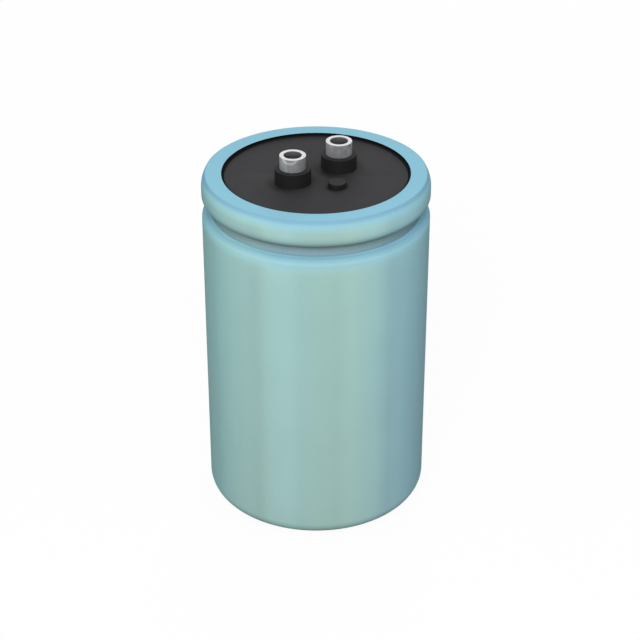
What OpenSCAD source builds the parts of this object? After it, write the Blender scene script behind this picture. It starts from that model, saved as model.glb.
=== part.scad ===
// Electrolytic capacitor with two screw terminals, in millimetres.
// +Z runs up the can from its foot, +X through the two terminals, and the vent plug lies towards -Y.
// The can is drawn, beaded below the lid and spun flat over it. One section, drawn at three depths,
// gives the sleeve's outside, the can's outside and the space inside, so every wall is even.

/* [Can and sleeve] */
// Outside diameter over the sleeve
body_d = 66; // [64:0.5:72]
// Height from the floor to the top of the rim
body_h = 105; // [90:0.5:130]
// Thickness of the shrink sleeve
sleeve_t = 0.4; // [0.3:0.05:0.5]
// Thickness of the can's wall
wall_t = 0.9; // [0.8:0.05:1]
// Rounding of the foot, on the outside
foot_r = 4.5; // [4:0.25:5.25]
// How far the sleeve's lip reaches in under the foot
sleeve_lip_w = 8; // [7:0.25:9]
// Rounding of the sleeve's cut edge on top of the rim
sleeve_edge_r = 0.2; // [0.1:0.05:0.25]
// Depth of the shallow recess in the can's base
base_recess = 0.6; // [0.4:0.1:0.8]
// Distance of that recess from the side
base_recess_w = 5.5; // [5.25:0.25:6.5]

/* [Bead and rim] */
// Height of the rim, from its top to its underside
rim_h = 7.9; // [7.5:0.1:8.5]
// Width of the rim's flat top
rim_flat = 4.85; // [4.5:0.05:5]
// How far the rim's side bulges out past its flat top
rim_bulge = 1.1; // [0.9:0.05:1.3]
// How far below its top the rim's side stands upright
rim_crown = 3.8; // [3.4:0.1:4]
// Rounding of the rim's lower edge
rim_under_r = 1.9; // [1.7:0.05:2]
// Height of the bead groove's opening
bead_h = 3.7; // [3.5:0.1:4]
// Depth of the bead groove from the side
bead_depth = 3.4; // [3.2:0.1:3.8]
// Rounding at the bottom of the bead groove
bead_r = 0.7; // [0.5:0.05:0.9]
// Rounding of the shoulder below the groove
shoulder_r = 1.8; // [1.7:0.05:2.2]

/* [Lid and gasket] */
// How far the lid's top lies below the rim's top
lid_recess = 1; // [0.8:0.1:1.2]
// Thickness of the lid's plate
lid_t = 4; // [3.6:0.1:4.2]
// Thickness of the lid's flange
flange_t = 3.2; // [2.9:0.1:3.3]
// Room round the lid's flange
flange_gap = 0.2; // [0.15:0.05:0.3]
// Chamfer under the lid's flange
flange_chamfer = 0.55; // [0.5:0.05:0.6]
// Width of the lid's seat ring, which rests on the bead
seat_w = 7; // [6.5:0.25:7.5]
// Width of the gasket's lip inside the rim's edge
gasket_lip = 0.55; // [0.45:0.05:0.7]
// How far that lip stays below the rim's top
gasket_lip_drop = 0.3; // [0.2:0.05:0.4]
// Number of ribs under the lid
rib_count = 8; // [8:4:16]
// Thickness of one rib
rib_t = 1.4; // [1.2:0.1:1.6]
// Radius of the hub where the ribs meet
hub_r = 4; // [3.5:0.25:4.5]

/* [Terminals] */
// Distance between the two terminals
terminal_spacing = 16.4; // [16:0.1:18]
// Radius of a terminal post
post_r = 3.8; // [3.7:0.05:3.9]
// Height of a post above the rim's top
post_h = 7.4; // [6.8:0.1:7.6]
// Radius of the lid's boss round a post
boss_r = 5.2; // [5.1:0.05:5.4]
// Height of that boss above the rim's top
boss_h = 3.5; // [3:0.1:3.8]
// Rounding of the boss's top edge
boss_edge_r = 0.3; // [0.2:0.05:0.4]
// Radius of the tapped hole's wall, the tapping size of the M5 thread
tap_r = 2.1; // [2.1:0.01:2.12]
// Radius of the countersink at the hole's mouth
mouth_r = 2.55; // [2.5:0.05:2.6]
// Depth of that countersink
mouth_depth = 0.8; // [0.6:0.1:1]
// Length of the tapped wall
tap_length = 9.8; // [9.2:0.1:10]
// Radius of the hexagonal foot moulded into the lid, over its corners
hex_r = 5; // [4.8:0.05:5.1]
// Thickness of the hexagonal foot
hex_t = 2; // [1.8:0.1:2.2]
// How far the hexagonal foot lies below the lid's top
hex_depth = 2.2; // [2:0.1:2.4]
// Depth of the sealing groove round the post inside the boss
seal_depth = 0.4; // [0.3:0.05:0.5]
// Height of the sealing groove
seal_h = 1.2; // [1:0.1:1.4]
// Radius of the lid's pad round the terminal's lower end
pad_r = 6.8; // [6.6:0.1:7]
// How far that pad reaches below the lid's top
pad_depth = 7; // [6.8:0.1:7.4]
// How far the terminal's lower end stands out of the pad
stub_out = 0.6; // [0.4:0.1:0.8]

/* [Vent plug] */
// Distance of the vent plug from the axis
vent_y = 10; // [9.5:0.25:12]
// Radius of the plug's head
vent_head_r = 2.55; // [2.4:0.05:2.8]
// Height of the plug's head over the lid
vent_head_h = 1.65; // [1.4:0.05:1.9]
// Rounding of the head's edge
vent_edge_r = 0.25; // [0.15:0.05:0.35]
// Radius of the plug's stem
vent_stem_r = 1.6; // [1.5:0.05:1.7]
// Radius of the plug's barb
vent_barb_r = 2.2; // [2.1:0.05:2.3]
// Radius of the barb's tip
vent_tip_r = 1.4; // [1.3:0.05:1.5]
// Height of the barb
vent_barb_h = 1.2; // [1:0.1:1.4]
// Radius of the hollow inside the plug
vent_hollow_r = 0.9; // [0.8:0.05:1]
// Thickness of rubber left over that hollow
vent_skin = 1.05; // [0.9:0.05:1.2]
// Room round the barb under the lid
vent_room = 0.6; // [0.4:0.05:0.8]

/* [Winding] */
// Room between the taped winding and the can
roll_gap = 0.6; // [0.5:0.05:0.8]
// Thickness of the closing tape
tape_t = 0.2; // [0.15:0.05:0.25]
// How far the tape stays from the winding's ends
tape_margin = 4; // [3:0.5:6]
// Radius of the hole the mandrel left
mandrel_r = 3.5; // [3:0.25:4]
// Thickness of the board under the winding
board_t = 1.5; // [1.4:0.05:1.7]
// Room round that board
board_gap = 0.3; // [0.2:0.05:0.4]
// Thickness of the paper disc on top of the winding
disc_t = 0.5; // [0.4:0.05:0.6]
// How far the paper disc stays inside the winding's edge
disc_inset = 0.6; // [0.4:0.1:1]
// Room between the bead and the top of the winding
roll_headroom = 4.1; // [3.5:0.1:4.5]

/* [Tabs and rivets] */
// Width of a foil tab
tab_w = 6; // [5.5:0.25:6.25]
// Thickness of a foil tab
tab_t = 0.25; // [0.2:0.05:0.3]
// Distance from the terminal's axis to the nearest tab's bend
tab_first = 6; // [5.5:0.25:6.5]
// Distance of the outermost tab from the winding's side
tab_side = 7.7; // [7.5:0.1:8.5]
// Inside radius of a tab's bend
tab_bend_r = 0.6; // [0.5:0.05:0.8]
// How deep a tab reaches between the turns
tab_tuck = 6; // [5:0.5:8]
// Room round a tab where it passes through the paper disc
tab_slot_gap = 0.5; // [0.4:0.05:0.6]
// Radius of a rivet's shank
rivet_r = 1.5; // [1.4:0.05:1.6]
// Room round the shank
rivet_gap = 0.05; // [0.03:0.01:0.08]
// Length of the shank inside the terminal
rivet_grip = 3; // [2.6:0.1:3.2]
// Room past the shank's end
rivet_end_gap = 0.1; // [0.05:0.05:0.2]
// Radius of a rivet's head
rivet_head_r = 2.9; // [2.7:0.05:3]
// Thickness of a rivet's head
rivet_head_h = 1.2; // [1:0.1:1.3]
// Radius of the washer under the rivet's head
washer_r = 3.4; // [3.3:0.05:3.6]
// Thickness of that washer
washer_t = 0.8; // [0.7:0.05:0.9]

/* [Hidden] */
round_fn = 96;
lap = 0.05;
tab_count = 3;
drill_angle = 118;
body_r = body_d / 2;
shell_t = sleeve_t + wall_t;
room_r = body_r - shell_t;
rim_r = body_r - rim_bulge - rim_flat;
rim_crown_r = (rim_bulge * rim_bulge + rim_crown * rim_crown) / (2 * rim_bulge);
under_z = body_h - rim_h;
shelf_z = under_z - bead_h;
bead_floor_r = body_r - bead_depth;
sleeve_lip_r = body_r - sleeve_lip_w;
base_recess_r = body_r - base_recess_w;
recess_z = sleeve_t + base_recess;
floor_z = recess_z + wall_t;
lid_z = body_h - lid_recess;
plate_z = lid_z - lid_t;
seat_z = under_z + shell_t;
flange_z = seat_z + flange_t;
flange_r = room_r - flange_gap;
lid_r = rim_r - gasket_lip;
seat_in_r = flange_r - seat_w;
terminal_x = terminal_spacing / 2;
post_z = body_h + post_h;
boss_z = body_h + boss_h;
mouth_z = post_z - mouth_depth;
tap_z = mouth_z - tap_length;
drill_tip = tap_r / tan(drill_angle / 2);
hex_top_z = lid_z - hex_depth;
hex_z = hex_top_z - hex_t;
seal_z = lid_z + (boss_z - lid_z - seal_h) / 2;
pad_z = lid_z - pad_depth;
stub_z = pad_z - stub_out;
board_z = floor_z + board_t;
foot_in_r = foot_r - shell_t;
board_r = room_r - foot_in_r + corner_reach(foot_in_r, floor_z - shell_t) - board_gap;
tape_r = room_r - roll_gap;
roll_r = tape_r - tape_t;
tab_step = (roll_r - tab_side - terminal_x - tab_first) / (tab_count - 1);
roll_z = shelf_z - shell_t - roll_headroom;
disc_z = roll_z + disc_t;
disc_r = roll_r - disc_inset;
washer_top_z = stub_z - tab_count * tab_t;
washer_z = washer_top_z - washer_t;
rivet_hole_r = rivet_r + rivet_gap;
vent_z = lid_z + vent_head_h;

// How far a rounded inner corner of radius r opens at height h over its floor
function corner_reach(r, h) = sqrt(2 * r * h - h * h);

// The nook that rounding to radius r takes off a corner whose tip is the origin
module corner_cut(r) {
  difference() {
    translate([-r, -r]) square(r + lap);
    translate([-r, -r]) circle(r = r, $fn = round_fn);
  }
}

// The web that rounding to radius r leaves in an inner corner at the origin
module corner_fill(r) {
  difference() {
    translate([-lap, -lap]) square(r + lap);
    translate([r, r]) circle(r = r, $fn = round_fn);
  }
}

// A rectangle from the axis to radius r between two heights
module slab(r, z0, z1) {
  translate([0, z0]) square([r, z1 - z0]);
}

// A rectangle between two radii and two heights
module band(r0, r1, z0, z1) {
  translate([r0, z0]) square([r1 - r0, z1 - z0]);
}

// A tube between two radii and two heights
module tube(r0, r1, z0, z1) {
  rotate_extrude($fn = round_fn) band(r0, r1, z0, z1);
}

// The barrel below the bead, drawn in by the depth inset
module barrel_section(inset) {
  difference() {
    slab(body_r - inset, inset, shelf_z - inset);
    translate([body_r - inset, shelf_z - inset]) corner_cut(shoulder_r - inset);
    translate([body_r - inset, inset]) mirror([0, 1]) corner_cut(foot_r - inset);
  }
}

// The rim above the bead, drawn in by the depth inset
module rim_section(inset) {
  crown_z = body_h - rim_crown;
  difference() {
    slab(body_r - inset, under_z + inset, crown_z);
    translate([body_r - inset, under_z + inset]) mirror([0, 1]) corner_cut(rim_under_r - inset);
  }
  intersection() {
    slab(body_r, crown_z - lap, body_h - inset);
    union() {
      translate([body_r - rim_crown_r, crown_z]) circle(r = rim_crown_r - inset, $fn = round_fn);
      slab(body_r - rim_crown_r, crown_z - lap, body_h);
    }
  }
}

// The neck at the bottom of the groove with its rounded inner corners
module neck_section(inset) {
  r = bead_floor_r - inset;
  slab(r, shelf_z - inset - lap, under_z + inset + lap);
  translate([r, shelf_z - inset]) corner_fill(bead_r + inset);
  translate([r, under_z + inset]) mirror([0, 1]) corner_fill(bead_r + inset);
}

// Half section of the whole body, drawn in by the depth inset
module body_section(inset) {
  barrel_section(inset);
  neck_section(inset);
  rim_section(inset);
}

module sleeve() {
  color([0.57, 0.75, 0.76])
    rotate_extrude($fn = round_fn)
      difference() {
        body_section(0);
        body_section(sleeve_t);
        slab(sleeve_lip_r, -lap, body_h / 2);
        slab(rim_r, body_h / 2, body_h + lap);
        translate([rim_r, body_h]) mirror([1, 0]) corner_cut(sleeve_edge_r);
      }
}

module can() {
  color([0.8, 0.81, 0.82])
    rotate_extrude($fn = round_fn)
      difference() {
        body_section(sleeve_t);
        intersection() {
          body_section(shell_t);
          slab(body_r, floor_z, body_h);
        }
        slab(base_recess_r, 0, recess_z);
        slab(rim_r, body_h / 2, body_h + lap);
      }
}

// Insulating disc in the recess of the base, held by the sleeve's lip
module end_disc() {
  color([0.5, 0.66, 0.68]) tube(0, base_recess_r, sleeve_t, recess_z);
}

// Rubber ring squeezed between the lid's flange and the rim spun over it
module gasket() {
  color([0.07, 0.07, 0.07])
    rotate_extrude($fn = round_fn) {
      intersection() {
        body_section(shell_t);
        band(lid_r, body_r, flange_z, body_h);
      }
      band(lid_r, rim_r, body_h - shell_t - lap, body_h - gasket_lip_drop);
    }
}

// Half section of the moulded lid without its terminals
module lid_section() {
  difference() {
    union() {
      slab(lid_r, plate_z, lid_z);
      band(seat_in_r, flange_r, seat_z, flange_z);
      slab(hub_r, seat_z, lid_z);
    }
    polygon([
      [flange_r - flange_chamfer, seat_z],
      [flange_r + lap, seat_z - lap],
      [flange_r, seat_z + flange_chamfer],
    ]);
  }
}

// One rib under the lid, along +X
module rib() {
  translate([hub_r - lap, -rib_t / 2, seat_z])
    cube([seat_in_r - hub_r + 2 * lap, rib_t, plate_z - seat_z + lap]);
}

// The lid's boss and pad round one terminal, still solid
module terminal_seat() {
  rotate_extrude($fn = round_fn)
    difference() {
      union() {
        slab(boss_r, plate_z, boss_z);
        slab(pad_r, pad_z, plate_z + lap);
      }
      translate([boss_r, boss_z]) corner_cut(boss_edge_r);
    }
}

// Outside of a terminal: post, sealing groove, hexagonal foot and lower end
module terminal_form() {
  rotate_extrude($fn = round_fn)
    difference() {
      slab(post_r, stub_z, post_z);
      band(post_r - seal_depth, post_r + lap, seal_z, seal_z + seal_h);
    }
  translate([0, 0, hex_z]) cylinder(r = hex_r, h = hex_t, $fn = 6);
}

module deck() {
  color([0.16, 0.16, 0.165])
    difference() {
      union() {
        rotate_extrude($fn = round_fn) lid_section();
        for (k = [0:rib_count - 1]) rotate([0, 0, (k + 0.5) * 360 / rib_count]) rib();
        for (side = [-1, 1]) translate([side * terminal_x, 0, 0]) terminal_seat();
      }
      for (side = [-1, 1]) translate([side * terminal_x, 0, 0]) terminal_form();
      translate([0, -vent_y, plate_z - lap]) cylinder(r = vent_stem_r, h = lid_t + 2 * lap, $fn = round_fn);
      translate([0, -vent_y, seat_z - lap])
        cylinder(r = vent_barb_r + vent_room, h = plate_z - seat_z + lap, $fn = round_fn);
    }
}

// A terminal with its blind tapped hole above and its rivet hole below
module terminal() {
  color([0.82, 0.82, 0.83])
    difference() {
      terminal_form();
      rotate_extrude($fn = round_fn)
        polygon([
          [0, tap_z - drill_tip],
          [tap_r, tap_z],
          [tap_r, mouth_z],
          [mouth_r, post_z],
          [mouth_r, post_z + lap],
          [0, post_z + lap],
        ]);
      translate([0, 0, stub_z - lap]) cylinder(r = rivet_hole_r, h = rivet_grip + rivet_end_gap + lap, $fn = round_fn);
    }
}

module positive_terminal() {
  translate([terminal_x, 0, 0]) terminal();
}

module negative_terminal() {
  translate([-terminal_x, 0, 0]) terminal();
}

// Rubber plug whose thin skin gives way when the pressure rises
module vent_plug() {
  tip_z = plate_z - vent_barb_h;
  color([0.13, 0.13, 0.13])
    translate([0, -vent_y, 0])
      rotate_extrude($fn = round_fn)
        difference() {
          polygon([
            [vent_hollow_r, tip_z],
            [vent_tip_r, tip_z],
            [vent_barb_r, plate_z],
            [vent_stem_r, plate_z],
            [vent_stem_r, lid_z],
            [vent_head_r, lid_z],
            [vent_head_r, vent_z],
            [0, vent_z],
            [0, vent_z - vent_skin],
            [vent_hollow_r, vent_z - vent_skin],
          ]);
          translate([vent_head_r, vent_z]) corner_cut(vent_edge_r);
        }
}

// Distance of a tab's upright leg from the axis, counted from the terminal outwards
function leg_x(k) = terminal_x + tab_first + k * tab_step;

// Underside of a tab's level run: the outermost tab lies highest
function run_z(k) = stub_z - (tab_count - k) * tab_t;

// The tabs' upright legs, used for their slots as well
module legs(depth, height, room) {
  for (k = [0:tab_count - 1])
    translate([leg_x(k) - room, -tab_w / 2 - room, roll_z - depth])
      cube([tab_t + 2 * room, tab_w + 2 * room, depth + height]);
}

// One foil tab: up out of the winding, round a bend and in to the rivet
module tab(k) {
  outer_r = tab_bend_r + tab_t;
  z = run_z(k);
  x = leg_x(k);
  bend_x = x + tab_t - outer_r;
  bend_z = z + tab_t - outer_r;
  color([0.86, 0.86, 0.87])
    difference() {
      union() {
        translate([x, -tab_w / 2, roll_z - tab_tuck]) cube([tab_t, tab_w, bend_z - roll_z + tab_tuck]);
        translate([0, tab_w / 2, 0])
          rotate([90, 0, 0])
            linear_extrude(tab_w)
              intersection() {
                difference() {
                  translate([bend_x, bend_z]) circle(r = outer_r, $fn = round_fn);
                  translate([bend_x, bend_z]) circle(r = tab_bend_r, $fn = round_fn);
                }
                translate([bend_x, bend_z]) square(2 * outer_r);
              }
        translate([terminal_x, -tab_w / 2, z]) cube([bend_x - terminal_x, tab_w, tab_t]);
        translate([terminal_x, 0, z]) cylinder(r = tab_w / 2, h = tab_t, $fn = round_fn);
      }
      translate([terminal_x, 0, z - lap]) cylinder(r = rivet_hole_r, h = tab_t + 2 * lap, $fn = round_fn);
    }
}

module positive_tab_1() {
  tab(0);
}

module positive_tab_2() {
  tab(1);
}

module positive_tab_3() {
  tab(2);
}

module negative_tab_1() {
  mirror([1, 0, 0]) tab(0);
}

module negative_tab_2() {
  mirror([1, 0, 0]) tab(1);
}

module negative_tab_3() {
  mirror([1, 0, 0]) tab(2);
}

// Washer between the tabs and the rivet's head
module washer() {
  color([0.7, 0.71, 0.72]) tube(rivet_hole_r, washer_r, washer_z, washer_top_z);
}

module positive_washer() {
  translate([terminal_x, 0, 0]) washer();
}

module negative_washer() {
  translate([-terminal_x, 0, 0]) washer();
}

// Rivet that clamps the three tabs to the terminal's lower end
module rivet() {
  color([0.75, 0.75, 0.77])
    rotate_extrude($fn = round_fn)
      difference() {
        union() {
          slab(rivet_head_r, washer_z - rivet_head_h, washer_z);
          slab(rivet_r, washer_z - lap, stub_z + rivet_grip);
        }
        translate([rivet_head_r, washer_z - rivet_head_h]) mirror([0, 1]) corner_cut(rivet_head_h / 2);
      }
}

module positive_rivet() {
  translate([terminal_x, 0, 0]) rivet();
}

module negative_rivet() {
  translate([-terminal_x, 0, 0]) rivet();
}

// The roll of foil and paper, one solid, with the mandrel's hole and a slot for each tab
module winding() {
  color([0.85, 0.8, 0.66])
    difference() {
      tube(mandrel_r, roll_r, board_z, roll_z);
      legs(tab_tuck, lap, 0);
      mirror([1, 0, 0]) legs(tab_tuck, lap, 0);
    }
}

module closing_tape() {
  color([0.86, 0.72, 0.42]) tube(roll_r, tape_r, board_z + tape_margin, roll_z - tape_margin);
}

module base_board() {
  color([0.68, 0.55, 0.38]) tube(0, board_r, floor_z, board_z);
}

module top_disc() {
  color([0.9, 0.86, 0.76])
    difference() {
      tube(mandrel_r, disc_r, roll_z, disc_z);
      legs(lap, disc_t + 2 * lap, tab_slot_gap);
      mirror([1, 0, 0]) legs(lap, disc_t + 2 * lap, tab_slot_gap);
    }
}

sleeve();
can();
end_disc();
gasket();
deck();
positive_terminal();
negative_terminal();
vent_plug();
winding();
closing_tape();
base_board();
top_disc();
positive_tab_1();
positive_tab_2();
positive_tab_3();
negative_tab_1();
negative_tab_2();
negative_tab_3();
positive_washer();
negative_washer();
positive_rivet();
negative_rivet();
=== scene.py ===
"""Looks of a screw-terminal capacitor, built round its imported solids.

The frame is the part's own: +Z runs up the can from its foot, +X through the two
terminals, and the vent plug lies towards -Y. Sizes are in millimetres, as on a
drawing, and become metres where a mesh is made.
"""

import functools
import logging
import math
from dataclasses import dataclass
from enum import Enum

import bpy
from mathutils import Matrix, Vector

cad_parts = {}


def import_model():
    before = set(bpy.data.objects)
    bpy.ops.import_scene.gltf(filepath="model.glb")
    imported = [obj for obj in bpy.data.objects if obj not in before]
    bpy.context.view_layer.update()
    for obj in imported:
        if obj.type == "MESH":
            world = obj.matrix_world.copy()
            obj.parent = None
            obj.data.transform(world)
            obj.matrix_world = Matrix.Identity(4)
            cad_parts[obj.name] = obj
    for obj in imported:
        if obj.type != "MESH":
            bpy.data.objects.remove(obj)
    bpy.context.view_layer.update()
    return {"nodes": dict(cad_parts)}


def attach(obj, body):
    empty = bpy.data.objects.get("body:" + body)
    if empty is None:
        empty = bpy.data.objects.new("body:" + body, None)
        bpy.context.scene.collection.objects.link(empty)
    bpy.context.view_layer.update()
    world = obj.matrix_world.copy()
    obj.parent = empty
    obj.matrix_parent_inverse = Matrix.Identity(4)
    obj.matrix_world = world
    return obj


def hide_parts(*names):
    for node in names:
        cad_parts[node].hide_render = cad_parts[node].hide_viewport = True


MM = 0.001
NEAR = 1e-7
WELD = 2e-6
BODY = "root"
MIX_FACTOR, MIX_A, MIX_B, MIX_RESULT = 0, 6, 7, 2
MIDDLE = (0.3, 0.7)
HEX = 6

log = logging.getLogger("capacitor")

Point = tuple[float, float]
Reach = tuple[float, float]
Colour = tuple[int, int, int]
Tint = tuple[float, float, float]
Rgba = tuple[float, float, float, float]
Piece = bpy.types.Object
Node = bpy.types.Node
Tree = bpy.types.NodeTree
Socket = bpy.types.NodeSocket
Material = bpy.types.Material


def linear(colour: Colour) -> Rgba:
    """Turns a screen colour into the linear values that a shader takes, by the sRGB rule.

    Args:
        colour: red, green and blue from 0 to 255.

    Returns:
        Linear red, green and blue and an alpha of 1.
    """
    screen = [value / 255.0 for value in colour]
    red, green, blue = (c / 12.92 if c <= 0.04045 else ((c + 0.055) / 1.055) ** 2.4 for c in screen)
    return red, green, blue, 1.0


def arc(centre: Point, radius: float, start: float, end: float, steps: int) -> list[Point]:
    """Draws an arc in a half section between two angles in degrees, 0 outwards and 90 up."""
    angles = [math.radians(start + (end - start) * k / steps) for k in range(steps + 1)]
    return [(centre[0] + radius * math.cos(a), centre[1] + radius * math.sin(a)) for a in angles]


# Sizes of the parts


@dataclass(frozen=True)
class CanSizes:
    """Sizes of the sleeved can, beaded below the lid and spun over it."""

    radius: float = 33.0
    height: float = 105.0
    film: float = 0.4
    wall: float = 0.9
    foot: float = 4.5
    lip_width: float = 8.0
    rim_height: float = 7.9
    rim_flat: float = 4.85
    rim_bulge: float = 1.1
    rim_crown: float = 3.8
    rim_under: float = 1.9
    bead_height: float = 3.7
    bead_depth: float = 3.4
    bead_round: float = 0.7
    shoulder: float = 1.8

    @property
    def shell(self) -> float:
        """Thickness of film and wall together."""
        return self.film + self.wall

    @property
    def under(self) -> float:
        """Height of the rim's underside."""
        return self.height - self.rim_height

    @property
    def shelf(self) -> float:
        """Height of the shelf below the bead groove."""
        return self.under - self.bead_height

    @property
    def floor(self) -> float:
        """Radius of the bead groove's floor."""
        return self.radius - self.bead_depth

    @property
    def corner(self) -> float:
        """Radius at which the rim's side meets its flat top."""
        return self.radius - self.rim_bulge

    @property
    def rim_inner(self) -> float:
        """Radius of the rim's inner edge."""
        return self.corner - self.rim_flat

    @property
    def crown(self) -> float:
        """Height at which the rim's side starts to lean inwards."""
        return self.height - self.rim_crown

    @property
    def crown_round(self) -> float:
        """Radius of the arc down the rim's side."""
        return (self.rim_bulge**2 + self.rim_crown**2) / (2 * self.rim_bulge)


@dataclass(frozen=True)
class LidSizes:
    """Sizes of the moulded lid with its seats for terminals and vent."""

    recess: float = 1.0
    plate: float = 4.0
    flange: float = 3.2
    flange_gap: float = 0.2
    chamfer: float = 0.55
    seat_width: float = 7.0
    gasket_lip: float = 0.55
    lip_drop: float = 0.3
    ribs: int = 8
    rib: float = 1.4
    hub: float = 4.0
    boss: float = 5.2
    boss_height: float = 3.5
    boss_edge: float = 0.3
    web: float = 0.15
    edge: float = 0.15
    pad: float = 6.8
    pad_depth: float = 7.0
    pad_edge: float = 0.3


@dataclass(frozen=True)
class TerminalSizes:
    """Sizes of one turned terminal and its M5 thread."""

    spacing: float = 16.4
    post: float = 3.8
    height: float = 7.4
    chamfer: float = 0.12
    mouth: float = 2.62
    mouth_edge: float = 0.08
    mouth_round: float = 0.05
    mouth_depth: float = 0.15
    major: float = 2.5
    minor: float = 2.1
    pitch: float = 0.8
    flank: float = 0.46
    root: float = 0.03
    thread: float = 9.8
    relief: float = 1.7
    countersink: float = 0.8
    drill_angle: float = 118.0
    hex_corner: float = 5.0
    hex_height: float = 2.0
    hex_depth: float = 2.2
    seal_depth: float = 0.4
    seal_height: float = 1.2
    stub: float = 0.6
    rivet_hole: float = 1.55
    rivet_depth: float = 3.1


@dataclass(frozen=True)
class VentSizes:
    """Sizes of the rubber vent plug."""

    offset: float = 10.0
    head: float = 2.55
    head_height: float = 1.65
    head_edge: float = 0.25
    head_foot: float = 0.1
    stem: float = 1.6
    barb: float = 2.2
    tip: float = 1.4
    barb_height: float = 1.2
    hollow: float = 0.9
    skin: float = 1.05
    room: float = 0.6


@dataclass(frozen=True)
class Sizes:
    """All sizes, with the heights that more than one part needs."""

    can: CanSizes = CanSizes()
    lid: LidSizes = LidSizes()
    terminal: TerminalSizes = TerminalSizes()
    vent: VentSizes = VentSizes()

    @property
    def lid_top(self) -> float:
        """Height of the lid's top."""
        return self.can.height - self.lid.recess

    @property
    def plate(self) -> float:
        """Height of the underside of the lid's plate."""
        return self.lid_top - self.lid.plate

    @property
    def seat(self) -> float:
        """Height of the bead's inside, on which the lid rests."""
        return self.can.under + self.can.shell

    @property
    def flange(self) -> float:
        """Radius of the lid's flange."""
        return self.can.radius - self.can.shell - self.lid.flange_gap

    @property
    def boss_top(self) -> float:
        """Height of the bosses' tops."""
        return self.can.height + self.lid.boss_height

    @property
    def post_top(self) -> float:
        """Height of the terminals' tops."""
        return self.can.height + self.terminal.height

    @property
    def vent_top(self) -> float:
        """Height of the vent plug's top."""
        return self.lid_top + self.vent.head_height


# Modelling steps


class Ends(Enum):
    """How the two ends of a turned profile are finished."""

    OPEN = "open"
    POLES = "poles"
    LOOP = "loop"


class Change(Enum):
    """How one piece changes another."""

    JOIN = "UNION"
    CUT = "DIFFERENCE"


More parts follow.
